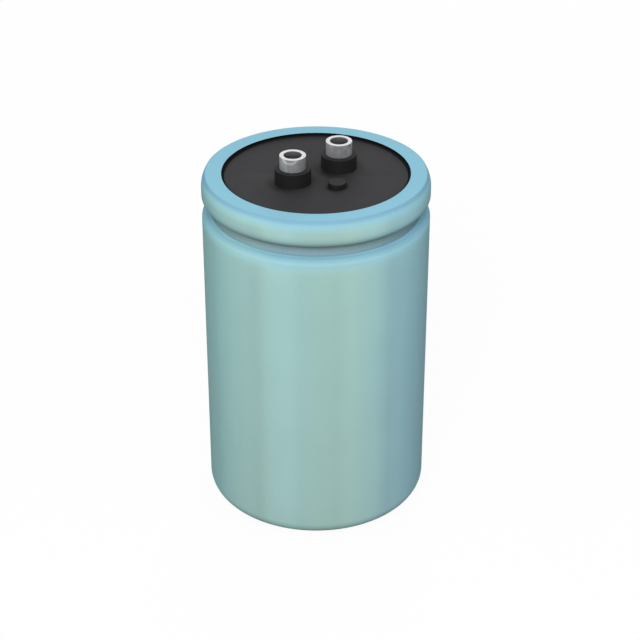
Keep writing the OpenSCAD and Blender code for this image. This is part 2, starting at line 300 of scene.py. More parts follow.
class Bench:
    """Modelling steps that every piece shares."""

    @staticmethod
    def clear() -> None:
        """Leaves nothing selected."""
        bpy.ops.object.select_all(action="DESELECT")

    @staticmethod
    def take(piece: Piece) -> None:
        """Makes a piece the only one selected, and the active one.

        Args:
            piece: the piece.
        """
        Bench.clear()
        piece.select_set(True)
        bpy.context.view_layer.objects.active = piece

    @staticmethod
    def settle(piece: Piece) -> Piece:
        """Moves a piece's place into its mesh, so that its object is at the origin.

        Args:
            piece: the piece.

        Returns:
            The same piece.
        """
        Bench.take(piece)
        bpy.ops.object.transform_apply(location=True, rotation=True, scale=True)
        return piece

    @staticmethod
    def turned(name: str, profile: list[Point], ends: Ends, segments: int) -> Piece:
        """Turns a profile about Z, drawing a circle on from ring to ring.

        Args:
            name: the piece's name.
            profile: radius and height of each ring, in millimetres.
            ends: how the first and last rings are finished.
            segments: number of sides of a ring.

        Returns:
            The turned piece, its faces outwards.
        """
        Bench.clear()
        inner = profile[1:-1] if ends is Ends.POLES else profile
        r, z = inner[0]
        bpy.ops.mesh.primitive_circle_add(vertices=segments, radius=r * MM, location=(0, 0, z * MM))
        piece = bpy.context.object
        piece.name = piece.data.name = name
        bpy.ops.object.transform_apply(location=True)
        bpy.ops.object.mode_set(mode="EDIT")
        bpy.ops.mesh.select_mode(type="EDGE")
        bpy.ops.mesh.select_all(action="SELECT")
        if ends is Ends.POLES:
            Bench._pole(r, z, profile[0][1])
            Bench._take_ring(piece, z)
        for (r0, z0), (r1, z1) in zip(inner, inner[1:]):
            Bench._ring(r0, r1, z1 - z0, z1)
        if ends is Ends.POLES:
            Bench._pole(*inner[-1], profile[-1][1])
        Bench.weld(WELD)
        return piece

    @staticmethod
    def _ring(r0: float, r1: float, rise: float, z1: float) -> None:
        """Draws the selected ring on.

        Args:
            r0, r1: its radius before and after.
            rise: how far it goes up.
            z1: the height it comes to.
        """
        bpy.ops.mesh.extrude_edges_move(TRANSFORM_OT_translate={"value": (0, 0, rise * MM)})
        if abs(r1 - r0) > NEAR:
            k = r1 / r0
            bpy.ops.transform.resize(value=(k, k, 1), center_override=(0, 0, z1 * MM))

    @staticmethod
    def _pole(r: float, z: float, end: float) -> None:
        """Closes the selected ring of radius r at height z to a point at height end."""
        Bench._ring(r, r, end - z, end)
        bpy.ops.mesh.merge(type="CENTER")

    @staticmethod
    def _take_ring(piece: Piece, z: float) -> None:
        """Selects the open ring at a height again, after the first pole.

        Args:
            piece: the piece in Edit Mode.
            z: the ring's height.
        """
        bpy.ops.mesh.select_all(action="DESELECT")
        bpy.ops.object.mode_set(mode="OBJECT")
        for vertex in piece.data.vertices:
            vertex.select = abs(vertex.co.z - z * MM) < NEAR and vertex.co.xy.length > WELD
        for edge in piece.data.edges:
            edge.select = all(piece.data.vertices[v].select for v in edge.vertices)
        bpy.ops.object.mode_set(mode="EDIT")

    @staticmethod
    def weld(distance: float) -> None:
        """Joins points closer than a distance, turns faces outwards and leaves Edit Mode.

        Args:
            distance: the distance in metres.
        """
        bpy.ops.mesh.select_all(action="SELECT")
        bpy.ops.mesh.remove_doubles(threshold=distance)
        bpy.ops.mesh.normals_make_consistent(inside=False)
        bpy.ops.object.mode_set(mode="OBJECT")

    @staticmethod
    def block(name: str, low: Vector, high: Vector) -> Piece:
        """Adds a block.

        Args:
            name: its name.
            low, high: two of its corners, in millimetres.

        Returns:
            The block.
        """
        Bench.clear()
        bpy.ops.mesh.primitive_cube_add(size=1, location=(low + high) / 2 * MM)
        piece = bpy.context.object
        piece.name = name
        piece.scale = (high - low) * MM
        return Bench.settle(piece)

    @staticmethod
    def bar(radius: float, low: float, high: float, at: Point, sides: int) -> Piece:
        """Adds an upright bar, round or hexagonal with a corner towards +X.

        Args:
            radius: the radius of its corners.
            low, high: its heights.
            at: X and Y of its axis.
            sides: its number of sides.

        Returns:
            The bar.
        """
        Bench.clear()
        bpy.ops.mesh.primitive_cylinder_add(
            vertices=sides,
            radius=radius * MM,
            depth=(high - low) * MM,
            location=(at[0] * MM, at[1] * MM, (low + high) / 2 * MM),
            rotation=(0, 0, math.pi / 2 if sides == HEX else 0),
        )
        return Bench.settle(bpy.context.object)

    @staticmethod
    def combine(base: Piece, tool: Piece, change: Change) -> None:
        """Joins a tool to a base, or cuts it away, and removes the tool.

        Args:
            base: the piece that stays.
            tool: the piece that is used up.
            change: what is done.
        """
        Bench.take(base)
        step = base.modifiers.new("change", "BOOLEAN")
        step.operation = change.value
        step.solver = "MANIFOLD"
        step.object = tool
        bpy.ops.object.modifier_apply(modifier=step.name)
        bpy.data.objects.remove(tool)

    @staticmethod
    def copied(piece: Piece, name: str, dx: float) -> Piece:
        """Copies a piece with a mesh of its own and moves the copy.

        Args:
            piece: the piece.
            name: the copy's name.
            dx: how far the copy moves along X, in millimetres.

        Returns:
            The copy.
        """
        twin = piece.copy()
        twin.data = piece.data.copy()
        twin.name = twin.data.name = name
        bpy.context.scene.collection.objects.link(twin)
        twin.location.x += dx * MM
        return Bench.settle(twin)

    @staticmethod
    def smooth(piece: Piece, degrees: float = 35.0) -> None:
        """Shades a piece smooth, with edges sharper than an angle kept."""
        Bench.take(piece)
        bpy.ops.object.shade_smooth_by_angle(angle=math.radians(degrees))

    @staticmethod
    def hand_over(piece: Piece, slot: str, node: str, finish: Material) -> None:
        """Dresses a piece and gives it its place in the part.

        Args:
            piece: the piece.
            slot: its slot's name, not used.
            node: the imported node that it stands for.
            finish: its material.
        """
        piece.data.materials.clear()
        piece.data.materials.append(finish)
        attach(piece, BODY)
        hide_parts(node)
        log.info("%s: %d faces, stands for %s", piece.name, len(piece.data.polygons), node)


def hex_foot(sizes: Sizes, at: Point) -> Piece:
    """Adds the hexagonal form by which the lid holds a terminal, at a given X and Y."""
    t, top = sizes.terminal, sizes.lid_top - sizes.terminal.hex_depth
    return Bench.bar(t.hex_corner, top - t.hex_height, top, at, HEX)


# Shader graphs and the groups that finishes share


class Graph:
    """A node tree with short ways to add and join nodes."""

    def __init__(self, tree: Tree) -> None:
        """Keeps the tree."""
        self.tree = tree

    def put(self, value: object, socket: Socket) -> None:
        """Links an output to a socket, or writes a plain value into it.

        Args:
            value: the output or the value.
            socket: the input it goes to.
        """
        if isinstance(value, Socket):
            self.tree.links.new(value, socket)
        else:
            socket.default_value = value

    def add(self, kind: str, fill: dict[str | int, object] | None = None, **settings: object) -> Node:
        """Adds a node.

        Args:
            kind: the node's type.
            fill: what goes into its inputs, by their names or places.
            settings: its properties by name.

        Returns:
            The node.
        """
        node = self.tree.nodes.new(kind)
        for name, value in settings.items():
            setattr(node, name, value)
        for name, value in (fill or {}).items():
            self.put(value, node.inputs[name])
        return node

    def group(self, tree: Tree, **values: object) -> Node:
        """Places a shared group and fills the inputs named by the keywords."""
        fill = {name.replace("_", " ").title(): value for name, value in values.items()}
        return self.add("ShaderNodeGroup", fill, node_tree=tree)

    def math(self, operation: str, a: object, b: object = 0.0, clamp: bool = False) -> Socket:
        """Adds a Math node and returns its value."""
        node = self.add("ShaderNodeMath", {0: a, 1: b}, operation=operation, use_clamp=clamp)
        return node.outputs[0]

    def times(self, *masks: object) -> Socket:
        """Multiplies masks or values together."""
        return functools.reduce(functools.partial(self.math, "MULTIPLY"), masks)

    def plus(self, *masks: object) -> Socket:
        """Adds masks or values together."""
        return functools.reduce(functools.partial(self.math, "ADD"), masks)

    def span(self, value: object, low: float, high: float, start: float = 0.0, end: float = 1.0) -> Socket:
        """Eases a value from one range to another, held at both ends."""
        fill = {"Value": value, "From Min": low, "From Max": high, "To Min": start, "To Max": end}
        return self.add("ShaderNodeMapRange", fill, interpolation_type="SMOOTHSTEP").outputs["Result"]

    def blend(self, mask: object, a: object, b: object, kind: str = "MIX") -> Socket:
        """Mixes two colours by a mask."""
        fill = {MIX_FACTOR: mask, MIX_A: a, MIX_B: b}
        return self.add("ShaderNodeMix", fill, data_type="RGBA", blend_type=kind).outputs[MIX_RESULT]

    def tint(self, mask: object, base: object, tint: Tint) -> Socket:
        """Multiplies a colour by a tint where a mask lies."""
        return self.blend(mask, base, (*tint, 1.0), "MULTIPLY")

    def shade(self, base: object, level: Socket) -> Socket:
        """Multiplies a colour by a value."""
        grey = self.add("ShaderNodeCombineColor", {0: level, 1: level, 2: level})
        return self.blend(1.0, base, grey.outputs[0], "MULTIPLY")

    def seen(self) -> Socket:
        """Masks the rays that show the surroundings to the eye, straight or by gloss and glass.

        Returns:
            The mask.
        """
        rays = self.add("ShaderNodeLightPath").outputs
        first = self.math("MAXIMUM", rays["Is Camera Ray"], rays["Is Glossy Ray"])
        return self.math("MAXIMUM", first, rays["Is Transmission Ray"])


class SharedGroups:
    """Effects that more than one finish uses, each built once."""

    def __init__(self) -> None:
        """Builds the groups."""
        self.grain = self._grain()
        self.marks = self._marks()
        self.polar = self._polar()

    @staticmethod
    def _start(name: str, numbers: dict[str, float], outputs: list[str]) -> tuple[Graph, Node]:
        """Opens a group with its sockets, the first of which is Vector.

        Args:
            name: the group's name.
            numbers: the names and default values of its number inputs.
            outputs: the names of its outputs.

        Returns:
            The graph and its input node.
        """
        tree = bpy.data.node_groups.new(name, "ShaderNodeTree")
        tree.interface.new_socket("Vector", in_out="INPUT", socket_type="NodeSocketVector")
        for label, value in numbers.items():
            socket = tree.interface.new_socket(label, in_out="INPUT", socket_type="NodeSocketFloat")
            socket.default_value = value
        for label in outputs:
            tree.interface.new_socket(label, in_out="OUTPUT", socket_type="NodeSocketFloat")
        graph = Graph(tree)
        return graph, graph.add("NodeGroupInput")

    def _grain(self) -> Tree:
        """Fine grain over a slow mottle, both about 0.5.

        Returns:
            The group.
        """
        g, start = self._start("grain", {"Fine": 4000.0, "Broad": 150.0}, ["Grain", "Mottle"])
        ends = {}
        for label, output, detail in (("Fine", "Grain", 3.0), ("Broad", "Mottle", 4.0)):
            fill = {"Detail": detail, "Vector": start.outputs["Vector"], "Scale": start.outputs[label]}
            ends[output] = g.add("ShaderNodeTexNoise", fill).outputs["Fac"]
        g.add("NodeGroupOutput", ends)
        return g.tree

    def _marks(self) -> Tree:
        """Sparse rubs and scratches left by handling, 0 where there are none.

        Returns:
            The group.
        """
        g, start = self._start("handling marks", {"Scale": 300.0, "Amount": 0.5}, ["Mask"])
        stretch = {"Vector": start.outputs["Vector"], "Scale": (1.0, 6.0, 2.5), "Rotation": (0.5, 0.3, 0.8)}
        long = g.add("ShaderNodeMapping", stretch).outputs["Vector"]
        fill = {"Detail": 6.0, "Roughness": 0.7, "Vector": long, "Scale": start.outputs["Scale"]}
        sparse = g.span(g.add("ShaderNodeTexNoise", fill).outputs["Fac"], 0.6, 0.74)
        g.add("NodeGroupOutput", {"Mask": g.times(sparse, start.outputs["Amount"])})
        return g.tree

    def _polar(self) -> Tree:
        """Height, radius and angle round an upright axis that stands at Offset and Offset Y.

        Returns:
            The group.
        """
        g, start = self._start("polar", {"Offset": 0.0, "Offset Y": 0.0}, ["Height", "Radius", "Angle"])
        parts = g.add("ShaderNodeSeparateXYZ", {0: start.outputs["Vector"]}).outputs
        x = g.math("SUBTRACT", parts["X"], start.outputs["Offset"])
        y = g.math("SUBTRACT", parts["Y"], start.outputs["Offset Y"])
        radius = g.math("SQRT", g.plus(g.times(x, x), g.times(y, y)))
        g.add("NodeGroupOutput", {"Height": parts["Z"], "Radius": radius, "Angle": g.math("ARCTAN2", y, x)})
        return g.tree


@dataclass(frozen=True)
class Zone:
    """A soft zone: where it comes in and goes out with height and with radius, and its tint.

    Each pair is counted in millimetres from a height or a radius that the finish gives.
    """

    rise: Reach | None = None
    fall: Reach | None = None
    out: Reach | None = None
    back: Reach | None = None
    tint: Tint = (1.0, 1.0, 1.0)


@dataclass(frozen=True)
class Streak:
    """A soft upright band: its angle, its half widths in degrees where full and where gone, its tint."""

    angle: float
    core: float
    spread: float
    tint: Tint


class Around:
    """Measures round an upright axis, with masks made from them."""

    def __init__(self, g: Graph, polar: Node) -> None:
        """Keeps a material's graph and the measures of a polar group placed in it."""
        self.g = g
        self.height, self.radius, self.angle = (polar.outputs[k] for k in ("Height", "Radius", "Angle"))

    def turn(self, degrees: float) -> Socket:
        """Gives the angle from a given one."""
        return self.g.math("SUBTRACT", self.angle, math.radians(degrees))

    def zone(self, zone: Zone, level: float = 0.0, radius: float = 0.0) -> Socket:
        """Masks a zone.

        Args:
            zone: the zone.
            level: the height it is counted from, in millimetres.
            radius: the radius it is counted from, in millimetres.

        Returns:
            The mask.
        """
        sides = (
            (self.height, level, zone.rise, (0.0, 1.0)),
            (self.height, level, zone.fall, (1.0, 0.0)),
            (self.radius, radius, zone.out, (0.0, 1.0)),
            (self.radius, radius, zone.back, (1.0, 0.0)),
        )
        masks = []
        for measure, base, reach, ends in sides:
            if reach:
                masks.append(self.g.span(measure, (base + reach[0]) * MM, (base + reach[1]) * MM, *ends))
        return self.g.times(*masks)

    def band(self, streak: Streak) -> Socket:
        """Masks an upright band."""
        ends = (math.cos(math.radians(streak.spread)), math.cos(math.radians(streak.core)))
        return self.g.span(self.g.math("COSINE", self.turn(streak.angle)), *ends)


class Paint:
    """A material that is being painted, with the shared effects at hand."""

    def __init__(self, name: str, shared: SharedGroups) -> None:
        """Opens the material.

        Args:
            name: its name.
            shared: the shared shader groups.
        """
        self.material = bpy.data.materials.new(name)
        self.material.use_nodes = True
        self.g = Graph(self.material.node_tree)
        self.surface = self.material.node_tree.nodes["Principled BSDF"].inputs
        self.place = self.g.add("ShaderNodeTexCoord").outputs["Object"]
        self.shared = shared

    def around(self, x: float = 0.0, y: float = 0.0) -> Around:
        """Measures round an upright axis at a place in millimetres."""
        polar = self.g.group(self.shared.polar, vector=self.place, offset=x * MM, offset_y=y * MM)
        return Around(self.g, polar)

    def grain(self, fine: float, broad: float) -> tuple[Socket, Socket]:
        """Adds grain and mottle at two scales."""
        group = self.g.group(self.shared.grain, vector=self.place, fine=fine, broad=broad)
        return group.outputs["Grain"], group.outputs["Mottle"]

    def marks(self, scale: float, amount: float) -> Socket:
        """Adds handling marks."""
        return self.g.group(self.shared.marks, vector=self.place, scale=scale, amount=amount).outputs["Mask"]

    def colour(self, value: Socket) -> None:
        """Sets the colour."""
        self.g.put(value, self.surface["Base Color"])

    def gloss(self, mask: Socket, reach: Reach, rough: float, sway: Reach) -> None:
        """Lets the roughness sway about a value as a mask goes over a reach."""
        self.g.put(self.g.span(mask, *reach, rough + sway[0], rough + sway[1]), self.surface["Roughness"])

    def emboss(self, height: Socket, strength: float, depth: float) -> None:
        """Lets the normal follow a height from 0 to 1, whose depth is in metres."""
        bump = self.g.add("ShaderNodeBump", {"Strength": strength, "Distance": depth, "Height": height})
        self.g.put(bump.outputs["Normal"], self.surface["Normal"])


# Finishes


@dataclass(frozen=True)
class Finish:
    """A finish: its name and the plain values of its surface."""

    name: str
    roughness: float = 0.5
    metallic: float = 0.0
    specular: float = 0.5

    def build(self, shared: SharedGroups) -> Material:
        """Makes the material, sets its plain values and paints it.

        Args:
            shared: the shared shader groups.

        Returns:
            The material.
        """
        p = Paint(self.name, shared)
        p.surface["Roughness"].default_value = self.roughness
        p.surface["Metallic"].default_value = self.metallic
        p.surface["Specular IOR Level"].default_value = self.specular
        self.paint(p, p.g)
        return p.material

    def paint(self, p: Paint, g: Graph) -> None:
        """Paints the opened material; each finish has its own way."""
        raise NotImplementedError


# Tint of the film's own tone, for an upright band.
TEAL = (0.88, 0.99, 1.05)
# A painted reflection of the sky, for an upright band.
SKY_REFLECTION = (0.88, 0.98, 1.18)
# Tint of the film's own tone, for an upright band.
MIST = (0.98, 1.01, 1.05)
# A painted highlight, for an upright band.
PAINTED_HIGHLIGHT = (1.07, 1.07, 1.07)
# A painted shade, for an upright band.
PAINTED_SHADE = (0.96, 0.97, 1.0)


@dataclass(frozen=True)
class ShrinkFilm(Finish):
    """Satin shrink film: sea green with upright streaks, a painted sky reflection where it faces up, and
    painted highlights and shade round the rim, groove and shoulder.
    """

    side: Colour = (165, 202, 196)
    side_low: Colour = (162, 196, 190)
    # Painted reflection of the sky, on the faces that look up.
    top: Colour = (145, 200, 220)
    # The groove's wall in painted shade: darker and greyer than the side, bluer and darker near the shelf.
    groove: Colour = (140, 165, 169)
    groove_low: Colour = (123, 158, 175)
    # Near black painted shade on the film's inner cut edge, at the rim's inner wall.
    cut: Colour = (8, 9, 9)
    sizes: CanSizes = CanSizes()
    # Where the painted sky reflection lies: the rim's top, and the shelf and shoulder below the groove; on
    # the shelf it is weaker, as painted shade under the rim, and stronger at the shoulder's edge.
    rim_sky_reflection: Zone = Zone(rise=(-3.8, -0.2))
    shelf_sky_reflection: Zone = Zone((-4.6, -1.8), (0.1, 0.8))
    brow: Zone = Zone(rise=(-1.0, -0.3), out=(0.0, 0.3))
    brow_share: Reach = (0.5, 0.83)
    # A painted highlight along the shoulder.
    glow: Zone = Zone((-5.0, -2.6), (-1.4, 0.0), tint=(1.07, 1.06, 1.05))
    # A bluer tint on the flat shelf: more painted sky reflection.
    flat: Zone = Zone((-0.9, 0.0), (0.0, 0.3), tint=(1.02, 1.03, 1.06))
    # Painted shade: a thin dark line where the shelf turns down into the shoulder.
    bend: Zone = Zone((-1.7, -0.5), (0.1, 0.3), (0.0, 0.3), tint=(0.85, 0.85, 0.86))
    # Where the groove's painted shade lies, and where it darkens further under the rim.
    groove_foot: Zone = Zone(rise=(-0.15, -0.05), back=(0.4, 0.9))
    groove_roof: Zone = Zone(fall=(0.0, 0.6))
    wall_low: Zone = Zone(rise=(0.05, 0.9))
    wall_high: Zone = Zone(rise=(1.7, 2.7), tint=(0.75, 0.76, 0.77))
    # Where the two painted highlights lie: the rim's crown and flank, the shoulder and the groove.
    crown: Zone = Zone((-4.5, -2.0), (-0.3, -0.05))
    flank: Zone = Zone((-8.0, -5.0), (-0.3, -0.05))
    below: Zone = Zone((-3.6, -2.2), (-1.6, -0.6))
    ledge: Zone = Zone((-1.6, -0.6), (1.6, 2.4))
    nook: Zone = Zone(rise=(0.2, 0.6))
    # Painted shade on the rim's lower side and underside.
    under: Zone = Zone((-0.2, 0.0), (1.2, 3.4), tint=(0.77, 0.78, 0.79))
    # Painted shade in the crease where the rim's side meets its flat top.
    crease: Zone = Zone((-2.2, -1.8), None, (-0.5, 0.05), (0.2, 0.75), (0.8, 0.77, 0.82))
    cut_edge: Zone = Zone(rise=(-1.0, -0.8), back=(0.05, 0.14))
    groove_grain: float = 4.0
    scales: Reach = (2500.0, 60.0)
    speckle: Reach = (-0.012, 0.012)
    cloud: Reach = (0.985, 1.015)
    sway: Reach = (-0.04, 0.04)
    relief: Reach = (0.15, 0.00002)
    # Two painted highlights, one to each side.
    painted_highlights: tuple[Streak, Streak] = (
        Streak(184.0, 13.0, 31.0, (1.13, 1.1, 1.03)),
        Streak(292.0, 12.0, 38.0, (1.09, 1.09, 1.07)),
    )
    # Upright bands: the film's own tone, painted highlights in the bright grey bands, painted shade in the
    # darker grey ones, a painted sky reflection in the blue one, and two dark bands at 146 and 321 degrees,
    # painted shade that darkens the can's outline.
    streaks: tuple[Streak, ...] = (
        Streak(312.0, 10.0, 66.0, SKY_REFLECTION),
        Streak(155.0, 12.0, 45.0, TEAL),
        Streak(50.0, 8.0, 58.0, MIST),
        Streak(215.0, 2.0, 11.0, PAINTED_HIGHLIGHT),
        Streak(219.0, 4.0, 15.0, MIST),
        # A painted highlight.
        Streak(258.0, 4.0, 15.0, (1.09, 1.09, 1.08)),
        Streak(291.0, 7.0, 18.0, PAINTED_HIGHLIGHT),
        Streak(186.0, 4.0, 16.0, PAINTED_HIGHLIGHT),
        Streak(197.0, 4.0, 10.0, PAINTED_SHADE),
        Streak(340.0, 3.0, 14.0, PAINTED_HIGHLIGHT),
        Streak(16.0, 3.0, 15.0, MIST),
        Streak(92.0, 3.0, 13.0, PAINTED_HIGHLIGHT),
        Streak(112.0, 4.0, 16.0, MIST),
        Streak(134.0, 3.0, 12.0, PAINTED_HIGHLIGHT),
        # Painted shade along the can's outline, here and in the next band.
        Streak(146.0, 4.0, 14.0, (0.88, 0.95, 0.97)),
        Streak(321.0, 4.0, 12.0, (0.9, 0.98, 0.96)),
    )

    def _base(self, g: Graph, at: Around) -> Socket:
        """Paints the streaked side, the painted sky reflection on the rim and the shoulder, and painted
        light round the shoulder.

        Args:
            g: the material's graph.
            at: the measures round the can's axis.

        Returns:
            The colour.
        """
        s = self.sizes
        low = at.zone(Zone(fall=(0.0, s.shelf)))
        side = g.blend(low, linear(self.side), linear(self.side_low))
        for streak in self.streaks:
            side = g.tint(at.band(streak), side, streak.tint)
        shoulder = s.radius - s.shoulder
        brow = g.span(at.zone(self.brow, s.shelf, shoulder), 0.0, 1.0, *self.brow_share)
        shelf = g.times(at.zone(self.shelf_sky_reflection, s.shelf), brow)
        # Painted reflection of the sky on the rim and the shelf.
        body = g.blend(g.math("MAXIMUM", at.zone(self.rim_sky_reflection, s.height), shelf), side, linear(self.top))
        # A painted highlight on the shoulder, more painted sky reflection on the shelf and painted shade in
        # the shoulder's bend.
        for zone in (self.glow, self.flat, self.bend):
            body = g.tint(at.zone(zone, s.shelf, shoulder), body, zone.tint)
        return body

    def _paint_highlights(self, g: Graph, at: Around, body: Socket) -> Socket:
        """Paints highlights on two sides of the rim, the shoulder and the groove.

        Args:
            g: the material's graph.
            at: the measures round the can's axis.
            body: the colour so far.

        Returns:
            The colour.
        """
        s = self.sizes
        below, ledge = at.zone(self.below, s.shelf), at.zone(self.ledge, s.shelf)
        nook = g.times(at.zone(self.nook, s.shelf), ledge)
        left = g.plus(at.zone(self.crown, s.height), below, ledge)
        right = g.plus(at.zone(self.flank, s.height), below, nook)
        for streak, where in zip(self.painted_highlights, (left, right)):
            body = g.tint(g.times(where, at.band(streak)), body, streak.tint)
        return body

    def paint(self, p: Paint, g: Graph) -> None:
        """Paints the film from its side up to its cut edge.

        Args:
            p: the opened material.
            g: its graph.
        """
        s, at = self.sizes, p.around()
        grain, mottle = p.grain(*self.scales)
        body = self._base(g, at)
        # Painted shade in the bead groove, darkest under the rim.
        groove = g.times(at.zone(self.groove_foot, s.shelf, s.floor), at.zone(self.groove_roof, s.under))
        wall = g.blend(at.zone(self.wall_low, s.shelf), linear(self.groove_low), linear(self.groove))
        wall = g.tint(at.zone(self.wall_high, s.shelf), wall, self.wall_high.tint)
        body = self._paint_highlights(g, at, g.blend(groove, body, wall))
        # Painted shade under the rim.
        body = g.tint(at.zone(self.under, s.under), body, self.under.tint)
        # Painted shade in the rim's crease.
        body = g.tint(at.zone(self.crease, s.height, s.corner), body, self.crease.tint)
        # The film's inner cut edge, painted near black as shade.
        body = g.blend(at.zone(self.cut_edge, s.height, s.rim_inner), body, linear(self.cut))
        coarse = g.span(groove, 0.0, 1.0, 1.0, self.groove_grain)
        speckle = g.times(g.span(grain, 0.35, 0.65, *self.speckle), coarse)
        p.colour(g.shade(body, g.plus(g.span(mottle, *MIDDLE, *self.cloud), speckle)))
        p.gloss(mottle, MIDDLE, self.roughness, self.sway)
        p.emboss(grain, *self.relief)


@dataclass(frozen=True)
class Moulding(Finish):
    """Black moulding: grained flats with worn marks, painted shade on the bosses, darkest on their sides,
    and painted shade on the lid round the bosses and the vent plug.
    """

    colour: Colour = (46, 45, 47)
    worn: Colour = (60, 59, 61)
    # Painted shade on the bosses: darkest on their sides, less on their tops.
    boss: Colour = (21, 21, 21)
    boss_top: Colour = (38, 38, 38)
    # Painted shade on the lid round the bosses and the vent plug, strongest along the line through the
    # terminals, with a darker painted contact shade at their feet.
    shade: float = 0.15
    shade_across: float = 0.55
    boss_reach: float = 3.6
    vent_reach: float = 1.5
    contact_shade: float = 0.5
    contact_shade_reach: Reach = (0.05, 0.35)
    boss_foot: Zone = Zone(rise=(0.02, 0.25))
    boss_edge: Zone = Zone(rise=(-0.3, -0.05))
    scales: Reach = (2600.0, 180.0)
    wear: Reach = (220.0, 0.3)
    sway: Reach = (-0.05, 0.05)
    relief: Reach = (0.35, 0.00005)
    sizes: Sizes = Sizes()

    def _near(self, g: Graph, at: Around, radius: float, reach: float) -> Socket:
        """Paints shade on the lid round one thing that stands on it, with a painted contact shade at its
        foot.

        Args:
            g: the material's graph.
            at: the measures round the thing's axis.
            radius: the thing's radius.
            reach: how far the darkening goes.

        Returns:
            The level, 1 where the lid keeps its tone.
        """
        across = g.math("COSINE", at.angle)
        share = g.plus(g.times(across, across, self.shade_across), self.shade)
        close = at.zone(Zone(back=(0.0, reach)), radius=radius)
        ends = ((radius + end) * MM for end in self.contact_shade_reach)
        contact_shade = g.span(at.radius, *ends, self.contact_shade, 1.0)
        return g.times(g.math("SUBTRACT", 1.0, g.times(close, share)), contact_shade)

    def paint(self, p: Paint, g: Graph) -> None:
        """Paints the lid and its bosses.

        Args:
            p: the opened material.
            g: its graph.
        """
        s = self.sizes
        grain, mottle = p.grain(*self.scales)
        tone = g.plus(g.span(mottle, *MIDDLE, 0.05, 0.22), g.span(grain, *MIDDLE, 0.0, 0.4))
        tone = g.math("ADD", tone, p.marks(*self.wear), True)
        body = g.blend(tone, linear(self.colour), linear(self.worn))
        x = s.terminal.spacing / 2
        # Painted shade round the bosses and the vent plug.
        bosses = [self._near(g, p.around(at), s.lid.boss, self.boss_reach) for at in (x, -x)]
        vent = self._near(g, p.around(0.0, -s.vent.offset), s.vent.head, self.vent_reach)
        body = g.shade(body, g.times(*bosses, vent))
        at = p.around()
        # Painted shade on the bosses' sides, and less of it on their tops.
        body = g.blend(at.zone(self.boss_foot, s.lid_top), body, linear(self.boss))
        body = g.blend(at.zone(self.boss_edge, s.boss_top), body, linear(self.boss_top))
        p.colour(body)
        p.gloss(grain, MIDDLE, self.roughness, self.sway)
        p.emboss(grain, *self.relief)


@dataclass(frozen=True)
class TurnedMetal(Finish):
    """Turned aluminium with tool rings round an axis at a given X."""

    colour: Colour = (214, 214, 214)
    dull: Colour = (176, 177, 180)
    axis_x: float = 0.0
    ring: float = 0.12
    scales: Reach = (5000.0, 500.0)
    wear: Reach = (500.0, 0.6)
    sway: Reach = (-0.06, 0.06)
    relief: Reach = (0.25, 0.00001)

    def dress(self, g: Graph, at: Around, bare: Socket) -> Socket:
        """Changes the bare tone by place; plain turned metal leaves it as it is."""
        return bare

    def paint(self, p: Paint, g: Graph) -> None:
        """Paints worn metal and cuts the tool's rings into it.

        Args:
            p: the opened material.
            g: its graph.
        """
        at = p.around(self.axis_x)
        wave = g.math("SINE", g.times(g.plus(at.height, at.radius), math.tau / (self.ring * MM)))
        grain, mottle = p.grain(*self.scales)
        mask = g.math("ADD", g.span(mottle, 0.35, 0.7, 0.0, 0.5), p.marks(*self.wear), True)
        mask = g.math("ADD", mask, g.span(grain, 0.4, 0.7, 0.0, 0.3), True)
        bare = g.blend(mask, linear(self.colour), linear(self.dull))
        p.colour(self.dress(g, at, bare))
        p.gloss(mottle, MIDDLE, self.roughness, self.sway)
        p.emboss(g.plus(g.span(wave, -1.0, 1.0), grain), *self.relief)


@dataclass(frozen=True)
class PaintedSpot:
    """A spot of painted light on a post: its angle, its drop below the top, its half sizes and its tint,
    lighter or darker.
    """

    angle: float
    drop: float
    width: float
    depth: float
    tint: Tint


